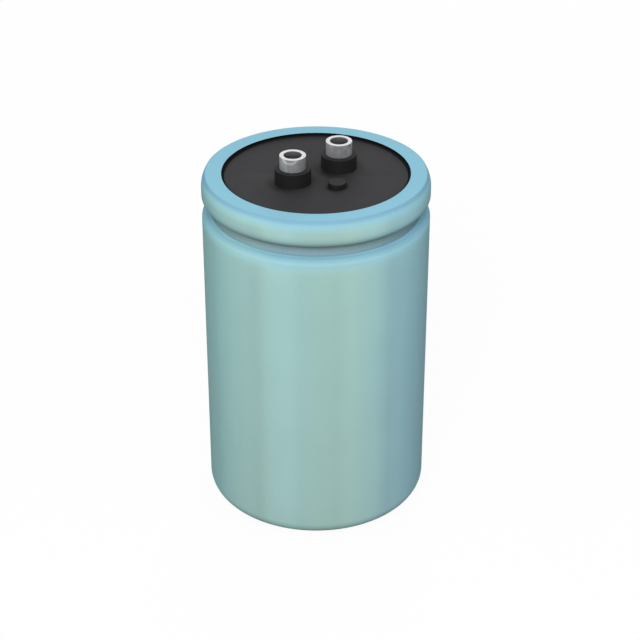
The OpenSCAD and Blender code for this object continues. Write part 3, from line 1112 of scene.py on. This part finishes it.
@dataclass(frozen=True)
class TerminalMetal(TurnedMetal):
    """A terminal's metal: a painted highlight on its top face, painted spots of highlight, reflection and
    shade down the side, and painted shade deeper in the bore.
    """

    # Painted shade in the bore, darker the deeper it goes.
    bore_high: Colour = (108, 108, 110)
    bore_low: Colour = (24, 24, 26)
    # A painted highlight on the top face.
    top_highlight: Colour = (226, 226, 227)
    painted_light_top: Zone = Zone(rise=(-0.05, -0.02))
    bore: Zone = Zone(back=(0.08, 0.16))
    bore_depth: Zone = Zone(rise=(-3.0, -0.3))
    spot_edge: Reach = (0.7, 1.3)
    # Spots of painted light on the side.
    marks: tuple[PaintedSpot, ...] = ()
    sizes: Sizes = Sizes()

    def _spot(self, g: Graph, at: Around, painted_spot: PaintedSpot) -> Socket:
        """Masks one spot of painted light.

        Args:
            g: the material's graph.
            at: the measures round the terminal's axis.
            painted_spot: the spot.

        Returns:
            The mask.
        """
        turn = at.turn(painted_spot.angle)
        across = g.times(g.math("SINE", turn), self.sizes.terminal.post / painted_spot.width)
        drop = g.math("SUBTRACT", at.height, (self.sizes.post_top - painted_spot.drop) * MM)
        along = g.math("DIVIDE", drop, painted_spot.depth * MM)
        square = g.plus(g.times(across, across), g.times(along, along))
        front = g.span(g.math("COSINE", turn), 0.0, 0.1)
        return g.times(g.span(square, *self.spot_edge, 1.0, 0.0), front)

    def dress(self, g: Graph, at: Around, bare: Socket) -> Socket:
        """Paints spots of light and shade on the side, a highlight on the top face and shade deeper in the
        bore.

        Args:
            g: the material's graph.
            at: the measures round the terminal's axis.
            bare: the tone of the turned side.

        Returns:
            The whole tone.
        """
        top = self.sizes.post_top
        for painted_spot in self.marks:
            bare = g.tint(self._spot(g, at, painted_spot), bare, painted_spot.tint)
        # A painted highlight on the top face.
        painted_light_top = g.blend(at.zone(self.painted_light_top, top), bare, linear(self.top_highlight))
        # Painted shade in the bore, darker with depth.
        bore = g.blend(at.zone(self.bore_depth, top), linear(self.bore_low), linear(self.bore_high))
        return g.blend(at.zone(self.bore, radius=self.sizes.terminal.major), painted_light_top, bore)


@dataclass(frozen=True)
class SoftRubber(Finish):
    """Matt black rubber with a faint bloom, and painted light of another tone above a given height."""

    colour: Colour = (18, 18, 19)
    bloom: Colour = (34, 34, 35)
    # Painted light above a given height: shade on the gasket's top under the rim, a highlight on the vent
    # plug's top.
    painted_light_top: Colour = (18, 18, 19)
    painted_light_above: float = 0.0
    painted_light_over: float = 0.08
    scales: Reach = (3000.0, 400.0)
    sway: Reach = (0.0, 0.08)
    relief: Reach = (0.3, 0.00004)

    def paint(self, p: Paint, g: Graph) -> None:
        """Paints the rubber.

        Args:
            p: the opened material.
            g: its graph.
        """
        grain, mottle = p.grain(*self.scales)
        bloom = g.span(mottle, 0.4, 0.75, 0.0, 0.7)
        tone = g.blend(bloom, linear(self.colour), linear(self.bloom))
        painted_light_top = p.around().zone(Zone(rise=(0.0, self.painted_light_over)), self.painted_light_above)
        p.colour(g.blend(painted_light_top, tone, linear(self.painted_light_top)))
        p.gloss(bloom, (0.0, 0.7), self.roughness, self.sway)
        p.emboss(grain, *self.relief)


@dataclass(frozen=True)
class WoundRoll(Finish):
    """End of the roll: thin rings of foil between rings of soaked paper."""

    paper: Colour = (206, 194, 164)
    foil: Colour = (150, 149, 146)
    turn: float = 0.35
    scales: Reach = (2500.0, 120.0)
    sway: Reach = (0.0, -0.3)
    relief: Reach = (0.5, 0.00008)

    def paint(self, p: Paint, g: Graph) -> None:
        """Paints the turns of the roll as one spiral.

        Args:
            p: the opened material.
            g: its graph.
        """
        at = p.around()
        lag = g.math("DIVIDE", at.angle, math.tau)
        turns = g.math("FRACT", g.plus(g.math("DIVIDE", at.radius, self.turn * MM), lag))
        grain, mottle = p.grain(*self.scales)
        mask = g.times(g.span(turns, 0.72, 0.86), g.span(mottle, 0.3, 0.6, 0.4, 1.0))
        p.colour(g.blend(mask, linear(self.paper), linear(self.foil)))
        p.gloss(mask, (0.0, 1.0), self.roughness, self.sway)
        p.emboss(g.plus(turns, grain), *self.relief)


@dataclass(frozen=True)
class SheetStock(Finish):
    """Board, paper, tape or strip: a grained sheet of two close tones."""

    colour: Colour = (200, 190, 170)
    second: Colour = (180, 168, 146)
    fine: float = 2500.0
    broad: float = 200.0
    depth: float = 0.00005
    strength: float = 0.4
    wear: Reach = (250.0, 0.4)
    sway: Reach = (0.0, 0.08)

    def paint(self, p: Paint, g: Graph) -> None:
        """Paints the sheet.

        Args:
            p: the opened material.
            g: its graph.
        """
        grain, mottle = p.grain(self.fine, self.broad)
        mask = g.math("ADD", g.span(mottle, *MIDDLE), p.marks(*self.wear), True)
        p.colour(g.blend(mask, linear(self.colour), linear(self.second)))
        p.gloss(mask, (0.0, 1.0), self.roughness, self.sway)
        p.emboss(grain, self.strength, self.depth)


# Sub-assemblies


@dataclass
class Sleeve:
    """The shrink film over the can, with its lip under the foot."""

    finish: Material
    sizes: CanSizes = CanSizes()
    edge: float = 0.2
    crease: float = 0.15
    slack: float = 0.02
    smooth_below: float = 40.0
    side_rings: int = 12
    segments: int = 256

    def profile(self) -> list[Point]:
        """Draws the half section of the film's outside, from the lip up to the rim's inner edge.

        Returns:
            Radius and height of each ring.
        """
        s = self.sizes
        r, top = s.radius, s.shelf - s.shoulder
        bead = s.floor + s.bead_round
        points = [(r - s.lip_width, 0.0), (r - s.foot - s.film, 0.0)]
        points += arc((r - s.foot, s.foot), s.foot, -90, 0, steps=14)
        rings = range(1, self.side_rings)
        points += [(r, s.foot + (top - s.foot) * k / self.side_rings) for k in rings]
        points += arc((r - s.shoulder, top), s.shoulder, 0, 90, steps=10)
        points += arc((bead, s.shelf + s.bead_round), s.bead_round, 270, 180, steps=6)
        points += arc((bead, s.under - s.bead_round), s.bead_round, 180, 90, steps=6)
        points += arc((r - s.rim_under, s.under + s.rim_under), s.rim_under, -90, 0, steps=10)
        lean = math.degrees(math.asin(s.rim_crown / s.crown_round))
        points += arc((r - s.crown_round, s.crown), s.crown_round, 0, lean, steps=12)[:-1]
        for out, down in ((0.35, 0.45), (-0.35, 0.08), (-1.5, 0.0)):
            points.append((s.corner + out * self.crease, s.height - down * self.crease))
        inner = s.rim_inner + self.edge
        points.append((inner + self.crease, s.height))
        points += arc((inner, s.height - self.edge), self.edge, 90, 180, steps=5)
        return points + [(s.rim_inner, s.height - s.film)]

    def build(self) -> Piece:
        """Turns the film, gives it its thickness and dresses it.

        Returns:
            The sleeve.
        """
        piece = Bench.turned("shrink_sleeve", self.profile(), Ends.OPEN, self.segments)
        Bench.take(piece)
        wall = piece.modifiers.new("film", "SOLIDIFY")
        wall.thickness = (self.sizes.film - self.slack) * MM
        wall.offset = -1.0
        bpy.ops.object.modifier_apply(modifier=wall.name)
        Bench.smooth(piece, self.smooth_below)
        Bench.hand_over(piece, "sleeve_film", "sleeve", self.finish)
        return piece


@dataclass
class Lid:
    """The moulded lid with its bosses, pads, ribs and seat ring."""

    finish: Material
    sizes: Sizes = Sizes()
    hub_edge: float = 0.1
    flat_rings: Reach = (2.0, 2.0)
    pad_cover: Reach = (1.0, 0.8)
    sunk: float = 0.01
    bite: float = 0.5
    rib_lift: float = 0.02
    ring_room: float = 0.2
    reach: float = 1.0
    segments: int = 160
    seat_segments: int = 96
    hole_segments: int = 48

    def _plate(self) -> Piece:
        """Turns the plate with its flange, seat ring and hub.

        Returns:
            The plate.
        """
        s, lid = self.sizes, self.sizes.lid
        low, plate, top, flange = s.seat, s.plate, s.lid_top, s.flange
        edge = s.can.rim_inner - lid.gasket_lip
        profile = [
            (0.0, low),
            (lid.hub - self.hub_edge, low),
            (lid.hub, low + self.hub_edge),
            (lid.hub, plate),
            (flange - lid.seat_width, plate),
            (flange - lid.seat_width, low),
            (flange - lid.chamfer, low),
            (flange, low + lid.chamfer),
            (flange, low + lid.flange),
            (edge, low + lid.flange),
            (edge, top - lid.edge),
            (edge - lid.edge, top),
            (edge - self.flat_rings[0], top),
            (self.flat_rings[1], top),
            (0.0, top),
        ]
        return Bench.turned("moulded_lid", profile, Ends.POLES, self.segments)

    def _seat(self, side: int) -> Piece:
        """Turns one terminal's boss and pad, with a small web where the boss meets the lid.

        Args:
            side: 1 for the one at +X, -1 for the other.

        Returns:
            The boss and pad.
        """
        s, lid = self.sizes, self.sizes.lid
        top, foot, web = s.lid_top, lid.boss + lid.web, lid.web
        low, edge = top - lid.pad_depth, lid.boss_edge
        pad_high, cone_high = (top - cover for cover in self.pad_cover)
        profile = [(0.0, low), (lid.pad - lid.pad_edge, low), (lid.pad, low + lid.pad_edge)]
        profile += [(lid.pad, pad_high), (foot, cone_high), (foot, top - self.sunk)]
        profile += arc((foot, top + web), web, 270, 180, steps=5)[1:]
        profile += arc((lid.boss - edge, s.boss_top - edge), edge, 0, 90, steps=5)
        profile += [(s.terminal.post + self.ring_room, s.boss_top), (0.0, s.boss_top)]
        seat = Bench.turned("seat", profile, Ends.POLES, self.seat_segments)
        seat.location.x = side * s.terminal.spacing / 2 * MM
        return Bench.settle(seat)

    def _rib(self, number: int) -> Piece:
        """Makes one rib between the hub and the seat ring.

        Args:
            number: its place in the row, from 0.

        Returns:
            The rib.
        """
        s, lid = self.sizes, self.sizes.lid
        low = Vector((lid.hub - self.bite, -lid.rib / 2, s.seat + self.rib_lift))
        high = Vector((s.flange - lid.seat_width + self.bite, lid.rib / 2, s.plate + self.bite))
        rib = Bench.block("rib", low, high)
        rib.rotation_euler.z = math.tau * (number + 0.5) / lid.ribs
        return Bench.settle(rib)

    def build(self) -> Piece:
        """Joins the lid's forms, opens its holes and dresses it.

        Returns:
            The lid.
        """
        s, t, v = self.sizes, self.sizes.terminal, self.sizes.vent
        lid = self._plate()
        for number in range(s.lid.ribs):
            Bench.combine(lid, self._rib(number), Change.JOIN)
        for side in (-1, 1):
            Bench.combine(lid, self._seat(side), Change.JOIN)
        low, high = s.lid_top - s.lid.pad_depth - self.reach, s.boss_top + self.reach
        for side in (-1, 1):
            at = (side * t.spacing / 2, 0.0)
            post = Bench.bar(t.post, low, high, at, self.seat_segments)
            Bench.combine(lid, post, Change.CUT)
            Bench.combine(lid, hex_foot(s, at), Change.CUT)
        at = (0.0, -v.offset)
        hole = Bench.bar(v.stem, s.plate - self.reach, s.lid_top + self.reach, at, self.hole_segments)
        Bench.combine(lid, hole, Change.CUT)
        room = Bench.bar(v.barb + v.room, s.seat - self.reach, s.plate, at, self.hole_segments)
        Bench.combine(lid, room, Change.CUT)
        Bench.smooth(lid)
        Bench.hand_over(lid, "lid_plastic", "deck", self.finish)
        return lid


@dataclass
class Terminals:
    """The two turned terminals with their threads."""

    finishes: dict[int, Material]
    sizes: Sizes = Sizes()
    coil_steps: int = 40
    segments: int = 96

    def _post(self) -> Piece:
        """Turns the post with its bore, sealing groove and rivet hole, on the axis.

        Returns:
            The post.
        """
        s, t = self.sizes, self.sizes.terminal
        low, high = s.lid_top - s.lid.pad_depth - t.stub, s.post_top
        seal = s.lid_top + (s.boss_top - s.lid_top - t.seal_height) / 2
        bottom = high - t.countersink - t.thread
        k = t.chamfer
        tip = t.major / math.tan(math.radians(t.drill_angle / 2))
        profile = [
            (0.0, low + t.rivet_depth),
            (t.rivet_hole, low + t.rivet_depth),
            (t.rivet_hole, low),
            (t.post - k, low),
            (t.post, low + k),
            (t.post, seal),
            (t.post - t.seal_depth, seal),
            (t.post - t.seal_depth, seal + t.seal_height),
            (t.post, seal + t.seal_height),
            (t.post, high - k),
            (t.post - 0.3 * k, high - 0.3 * k),
            (t.post - k, high),
            (t.mouth + t.mouth_edge, high),
            (t.mouth, high - t.mouth_round),
            (t.major, high - t.mouth_depth),
            (t.major, bottom),
            (0.0, bottom - tip),
        ]
        return Bench.turned("post", profile, Ends.POLES, self.segments)

    def _thread(self) -> Piece:
        """Winds the ridge of the thread from a small triangle, on the axis.

        Returns:
            The ridge.
        """
        t = self.sizes.terminal
        turns = int((t.thread + t.countersink - t.relief) / t.pitch)
        low = self.sizes.post_top - t.relief - turns * t.pitch
        Bench.clear()
        bpy.ops.mesh.primitive_circle_add(vertices=3, radius=t.pitch * MM)
        coil = bpy.context.object
        half, root = t.flank * t.pitch, t.major + t.root
        for vertex, (r, z) in zip(coil.data.vertices, ((root, -half), (t.minor, 0.0), (root, half))):
            vertex.co = Vector((r * MM, 0, (low + z) * MM))
        wind = coil.modifiers.new("wind", "SCREW")
        wind.axis = "Z"
        wind.screw_offset = t.pitch * MM
        wind.iterations = turns
        wind.steps = wind.render_steps = self.coil_steps
        wind.use_merge_vertices = False
        Bench.take(coil)
        bpy.ops.object.modifier_apply(modifier=wind.name)
        bpy.ops.object.mode_set(mode="EDIT")
        bpy.ops.mesh.select_all(action="SELECT")
        bpy.ops.mesh.remove_doubles(threshold=NEAR)
        bpy.ops.mesh.fill_holes(sides=3)
        Bench.weld(NEAR)
        return coil

    def build(self) -> list[Piece]:
        """Makes one terminal, copies it to both places and dresses them.

        Returns:
            The two terminals.
        """
        s, t = self.sizes, self.sizes.terminal
        post = self._post()
        Bench.combine(post, hex_foot(s, (0.0, 0.0)), Change.JOIN)
        coil = self._thread()
        Bench.take(post)
        coil.select_set(True)
        bpy.ops.object.join()
        Bench.smooth(post)
        pieces = []
        for side, name in ((1, "positive_terminal"), (-1, "negative_terminal")):
            piece = Bench.copied(post, f"{name}_turned", side * t.spacing / 2)
            Bench.hand_over(piece, "terminal_metal", name, self.finishes[side])
            pieces.append(piece)
        bpy.data.objects.remove(post)
        return pieces


@dataclass
class Seals:
    """The rubber pieces: the gasket under the rim and the vent plug."""

    finish: Material
    vent_finish: Material
    sizes: Sizes = Sizes()
    film_room: float = 0.01
    lip_round: float = 0.12
    lip_edge: float = 0.2
    gasket_segments: int = 192
    plug_segments: int = 72

    def _gasket(self) -> Piece:
        """Turns the gasket, pressed into the corner under the rim.

        Returns:
            The gasket.
        """
        c, s = self.sizes.can, self.sizes.lid
        inner, outer = c.rim_inner - s.gasket_lip, c.rim_inner - self.film_room
        low, roof, lip = self.sizes.seat + s.flange, c.height - c.shell, c.height - s.lip_drop
        squeezed = c.crown_round - c.shell
        start, end = (math.degrees(math.asin((z - c.crown) / squeezed)) for z in (low, roof))
        k, edge = self.lip_round, self.lip_edge
        profile = [(inner, low)]
        profile += arc((c.radius - c.crown_round, c.crown), squeezed, start, end, steps=6)
        profile += [(outer, roof), (outer, lip - k)]
        profile += arc((outer - k, lip - k), k, 0, 90, steps=3)[1:]
        profile += arc((inner + edge, lip - edge), edge, 90, 180, steps=4)
        profile += [(inner, low)]
        return Bench.turned("rim_gasket", profile, Ends.LOOP, self.gasket_segments)

    def _plug(self) -> Piece:
        """Turns the vent plug, hollow from below, on the axis and then moves it.

        Returns:
            The plug.
        """
        v = self.sizes.vent
        top, plate, head = self.sizes.lid_top, self.sizes.plate, self.sizes.vent_top
        tip, edge = plate - v.barb_height, v.head_edge
        profile = [
            (0.0, head - v.skin),
            (v.hollow, head - v.skin),
            (v.hollow, tip),
            (v.tip, tip),
            (v.barb, plate),
            (v.stem, plate),
            (v.stem, top),
            (v.head - v.head_foot, top),
            (v.head, top + v.head_foot),
        ]
        profile += arc((v.head - edge, head - edge), edge, 0, 90, steps=5)
        profile += [(v.head - 2 * edge, head), (0.0, head)]
        plug = Bench.turned("vent_plug_rubber", profile, Ends.POLES, self.plug_segments)
        plug.location.y = -v.offset * MM
        return Bench.settle(plug)

    def build(self) -> list[Piece]:
        """Makes and dresses the rubber pieces.

        Returns:
            The gasket and the vent plug.
        """
        gasket = self._gasket()
        Bench.smooth(gasket)
        Bench.hand_over(gasket, "seal_rubber", "gasket", self.finish)
        plug = self._plug()
        Bench.smooth(plug)
        Bench.hand_over(plug, "vent_rubber", "vent_plug", self.vent_finish)
        return [gasket, plug]


@dataclass
class InnerParts:
    """The pieces inside the can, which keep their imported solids."""

    finishes: dict[str, Material]

    def dress(self, nodes: dict[str, Piece]) -> None:
        """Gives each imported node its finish.

        Args:
            nodes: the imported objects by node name.
        """
        for name, finish in self.finishes.items():
            for node, piece in nodes.items():
                if node == name or node.endswith(f"_{name}") or f"_{name}_" in node:
                    for slot in piece.material_slots:
                        slot.material = finish
                    log.info("%s: dressed in %s", node, finish.name)


# Studio


@dataclass(frozen=True)
class Lamp:
    """A soft square lamp aimed at the object, with its share of full brightness."""

    name: str
    azimuth: float
    elevation: float
    distance: float
    side: float
    share: float
    mirrored: bool = True


@dataclass
class Studio:
    """White surroundings, soft lamps, the floor and the camera."""

    ambient: float = 0.48
    bounce: float = 0.22
    floor_side: float = 8.0
    floor_drop: float = 0.1
    floor_glow: float = 0.93
    floor_white: float = 0.95
    focal: float = 98.84
    sensor: float = 36.0
    clip: Reach = (0.01, 50.0)
    away: float = 456.5
    above: float = 214.49
    azimuth: float = -36.57
    pitch: float = 30.002
    yaw: float = 0.142
    lamps: tuple[Lamp, ...] = (
        Lamp("key", -42.5, 37.0, 1.2, 0.6, 0.73),
        Lamp("fill", 136.0, 12.0, 1.2, 0.5, 0.4, False),
    )
    can: CanSizes = CanSizes()

    def world(self) -> None:
        """Makes the surroundings: white to the eye and in metal, plain ambient light elsewhere."""
        world = bpy.data.worlds.new("surroundings")
        bpy.context.scene.world = world
        world.use_nodes = True
        world.node_tree.nodes.clear()
        g = Graph(world.node_tree)
        level = g.span(g.seen(), 0.0, 1.0, self.ambient, 1.0)
        light = g.add("ShaderNodeBackground", {"Color": (1.0, 1.0, 1.0, 1.0), "Strength": level})
        g.add("ShaderNodeOutputWorld", {"Surface": light.outputs[0]})

    def floor(self) -> None:
        """Lays the pale floor, which keeps the object's faint shadow."""
        Bench.clear()
        place = (0, 0, -self.floor_drop * MM)
        bpy.ops.mesh.primitive_plane_add(size=self.floor_side, location=place)
        floor = bpy.context.object
        floor.name = "floor"
        material = bpy.data.materials.new("pale floor")
        material.use_nodes = True
        material.node_tree.nodes.clear()
        g = Graph(material.node_tree)
        seen = g.seen()
        dim, white = ((level, level, level, 1.0) for level in (self.bounce, self.floor_white))
        paint = g.add("ShaderNodeBsdfDiffuse", {"Color": g.blend(seen, dim, white)})
        glow = g.add("ShaderNodeEmission", {"Strength": 1.0})
        fill = {0: g.times(seen, self.floor_glow), 1: paint.outputs[0], 2: glow.outputs[0]}
        mix = g.add("ShaderNodeMixShader", fill)
        g.add("ShaderNodeOutputMaterial", {"Surface": mix.outputs[0]})
        floor.data.materials.append(material)

    def light(self) -> None:
        """Hangs the lamps."""
        middle = Vector((0, 0, self.can.height / 2 * MM))
        for lamp in self.lamps:
            a, e = math.radians(lamp.azimuth), math.radians(lamp.elevation)
            way = Vector((math.sin(a) * math.cos(e), -math.cos(a) * math.cos(e), math.sin(e)))
            data = bpy.data.lights.new(lamp.name, "AREA")
            data.size = lamp.side
            data.energy = lamp.share * math.pi**2 * lamp.distance**2
            piece = bpy.data.objects.new(lamp.name, data)
            piece.location = middle + way * lamp.distance
            piece.rotation_euler = way.to_track_quat("Z", "Y").to_euler()
            piece.visible_glossy = lamp.mirrored
            bpy.context.scene.collection.objects.link(piece)

    def camera(self) -> None:
        """Places the camera where the photograph was taken from."""
        a = math.radians(self.azimuth)
        data = bpy.data.cameras.new("camera")
        data.lens, data.sensor_width = self.focal, self.sensor
        data.clip_start, data.clip_end = self.clip
        piece = bpy.data.objects.new("camera", data)
        height = self.can.height + self.above
        piece.location = Vector((math.sin(a) * self.away, -math.cos(a) * self.away, height)) * MM
        piece.rotation_euler = (math.radians(90.0 - self.pitch), 0.0, a - math.radians(self.yaw))
        bpy.context.scene.collection.objects.link(piece)
        bpy.context.scene.camera = piece

    def build(self) -> None:
        """Sets up the whole studio."""
        self.camera()
        self.world()
        self.floor()
        self.light()
        bpy.context.scene.view_settings.view_transform = "Standard"


# The whole object


def inner_finishes() -> dict[str, Finish]:
    """Names the finishes of the pieces inside the can.

    Returns:
        The finishes by the ending of a node's name.
    """
    foil = SheetStock("foil strip", 0.32, 1.0, 0.5, (214, 214, 216), (190, 191, 194), 4000.0, 300.0, 0.00002)
    tape = SheetStock("brown tape", 0.28, 0.0, 0.5, (206, 172, 104), (192, 154, 84), 1500.0, 80.0, 0.00003)
    return {
        "can": TurnedMetal("drawn aluminium", 0.34, 1.0, 0.5, (206, 207, 209), (180, 182, 186), ring=0.5),
        "end_disc": SheetStock("end film", 0.5, 0.0, 0.4, (146, 180, 182), (138, 171, 174)),
        "winding": WoundRoll("wound roll", 0.75),
        "closing_tape": tape,
        "base_board": SheetStock("pressed board", 0.85, 0.0, 0.3, (166, 138, 98), (146, 118, 80)),
        "top_disc": SheetStock("paper disc", 0.8, 0.0, 0.3, (228, 219, 196), (212, 201, 174)),
        "tab": foil,
        "washer": TurnedMetal("washer metal", 0.3, 1.0, 0.5, (196, 197, 200), (168, 170, 174), ring=0.15),
        "rivet": TurnedMetal("rivet metal", 0.36, 1.0, 0.5, (200, 200, 204), (170, 171, 176), ring=0.2),
    }


def terminal_finish(side: int) -> TerminalMetal:
    """Names one terminal's finish, with its spots of painted light.

    Args:
        side: 1 for the positive terminal, -1 for the negative one.

    Returns:
        The finish.
    """
    # The negative post: a broad painted highlight down its front, a painted reflection under its top as a
    # bright crescent with a dark edge, and a small painted shade.
    negative_painted_spots = (
        PaintedSpot(180.0, 3.5, 1.9, 7.0, (1.45, 1.45, 1.45)),
        PaintedSpot(219.0, -0.15, 2.3, 1.7, (1.75, 1.9, 1.88)),
        PaintedSpot(220.5, -0.15, 1.6, 0.95, (0.57, 0.53, 0.53)),
        PaintedSpot(100.0, 1.4, 1.2, 0.5, (0.8, 0.8, 0.8)),
    )
    # The positive post: broad painted highlights and a painted shade down its front, and small dark painted
    # reflections near its top.
    positive_painted_spots = (
        PaintedSpot(184.0, 3.5, 1.9, 7.0, (1.3, 1.3, 1.3)),
        PaintedSpot(238.0, 3.5, 2.2, 7.0, (0.88, 0.88, 0.88)),
        PaintedSpot(281.0, 3.5, 1.9, 7.0, (1.16, 1.16, 1.16)),
        PaintedSpot(287.0, 0.45, 0.55, 0.22, (0.3, 0.3, 0.3)),
        PaintedSpot(279.0, 0.8, 0.5, 0.15, (0.6, 0.6, 0.6)),
        PaintedSpot(262.0, 1.9, 0.2, 0.7, (0.82, 0.82, 0.82)),
        PaintedSpot(60.0, 1.0, 0.6, 0.3, (0.5, 0.5, 0.5)),
    )
    label, marks = ("positive", positive_painted_spots) if side > 0 else ("negative", negative_painted_spots)
    axis_x = side * TerminalSizes().spacing / 2
    name = f"turned aluminium {label}"
    return TerminalMetal(name, 0.5, 0.45, 0.4, (136, 136, 138), (106, 107, 109), axis_x, marks=marks)


def rubber_finishes() -> tuple[SoftRubber, SoftRubber]:
    """Names the finishes of the two rubber pieces.

    Returns:
        The gasket's and the vent plug's.
    """
    s = Sizes()
    # The gasket's third tone is painted shade on its top, under the rim.
    seal_tones = ((44, 44, 45), (50, 50, 51), (9, 9, 10))
    # The vent plug's third tone is a painted highlight on its top.
    plug_tones = ((20, 20, 21), (30, 30, 31), (52, 52, 53))
    gasket = SoftRubber("gasket rubber", 0.75, 0.0, 0.05, *seal_tones, s.lid_top, painted_light_over=0.6)
    vent = SoftRubber("vent rubber", 0.65, 0.0, 0.15, *plug_tones, s.vent_top - 0.1)
    return gasket, vent


def main() -> None:
    """Builds the capacitor's looks and its studio."""
    logging.basicConfig(level=logging.INFO, format="%(name)s: %(message)s")
    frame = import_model()
    shared = SharedGroups()
    Sleeve(ShrinkFilm("shrink film", 0.5, 0.0, 0.005).build(shared)).build()
    Lid(Moulding("black moulding", 0.65, 0.0, 0.15).build(shared)).build()
    Terminals({side: terminal_finish(side).build(shared) for side in (1, -1)}).build()
    Seals(*(rubber.build(shared) for rubber in rubber_finishes())).build()
    inner = {name: finish.build(shared) for name, finish in inner_finishes().items()}
    InnerParts(inner).dress(frame["nodes"])
    Studio().build()


if __name__ == "__main__":
    main()
